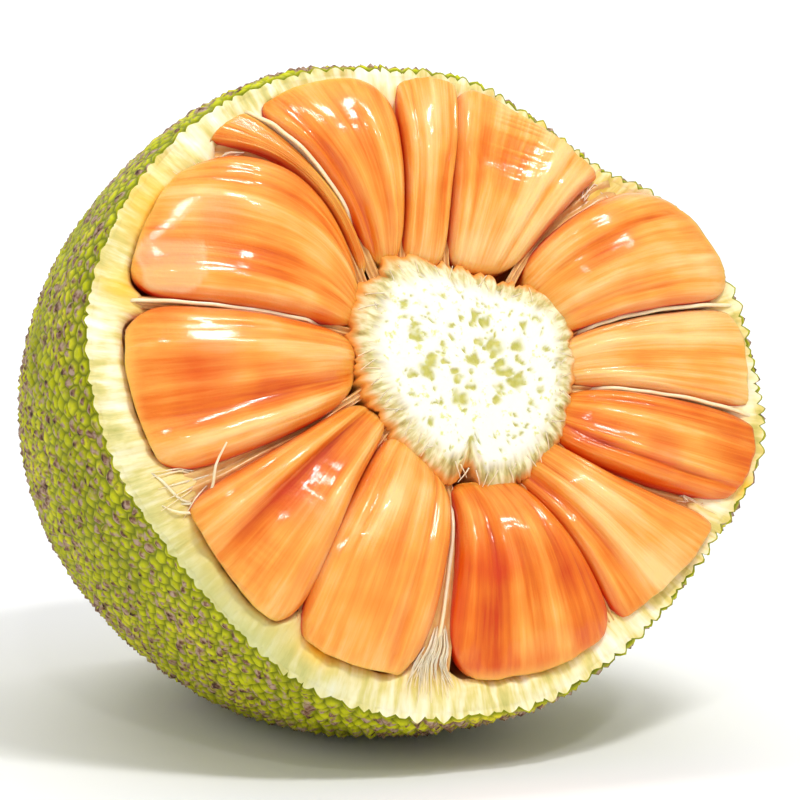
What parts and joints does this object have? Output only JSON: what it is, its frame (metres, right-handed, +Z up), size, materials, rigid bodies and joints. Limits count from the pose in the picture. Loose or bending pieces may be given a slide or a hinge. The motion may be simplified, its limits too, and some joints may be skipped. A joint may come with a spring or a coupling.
{
  "type": "cut jackfruit",
  "caption": "Cut end of a jackfruit: spiny green rind, white flesh and plump orange arils round a pale core. It lies on a small flat spot.",
  "frame": {"origin": "centre of the flat spot that the fruit rests on", "axes": "+Z up from the flat spot; -Y towards the cut face, which leans back 20 degrees; +X to the right when facing the cut"},
  "size_m": [0.253, 0.2561, 0.2364],
  "materials": {
    "rind": "green spined skin with brown tips, matte",
    "pith": "moist white fibrous flesh, satin",
    "core": "white porous core with yellow-green pores, matte",
    "aril": "wet orange flesh, glossy"
  },
  "bodies": {
    "root": {"rind": "rind", "pith": "pith", "core": "core", "aril_01": "aril", "aril_02": "aril", "aril_03": "aril", "aril_04": "aril", "aril_05": "aril", "aril_06": "aril", "aril_07": "aril", "aril_08": "aril", "aril_09": "aril", "aril_10": "aril", "aril_11": "aril", "aril_12": "aril", "aril_13": "aril"}
  },
  "joints": []
}
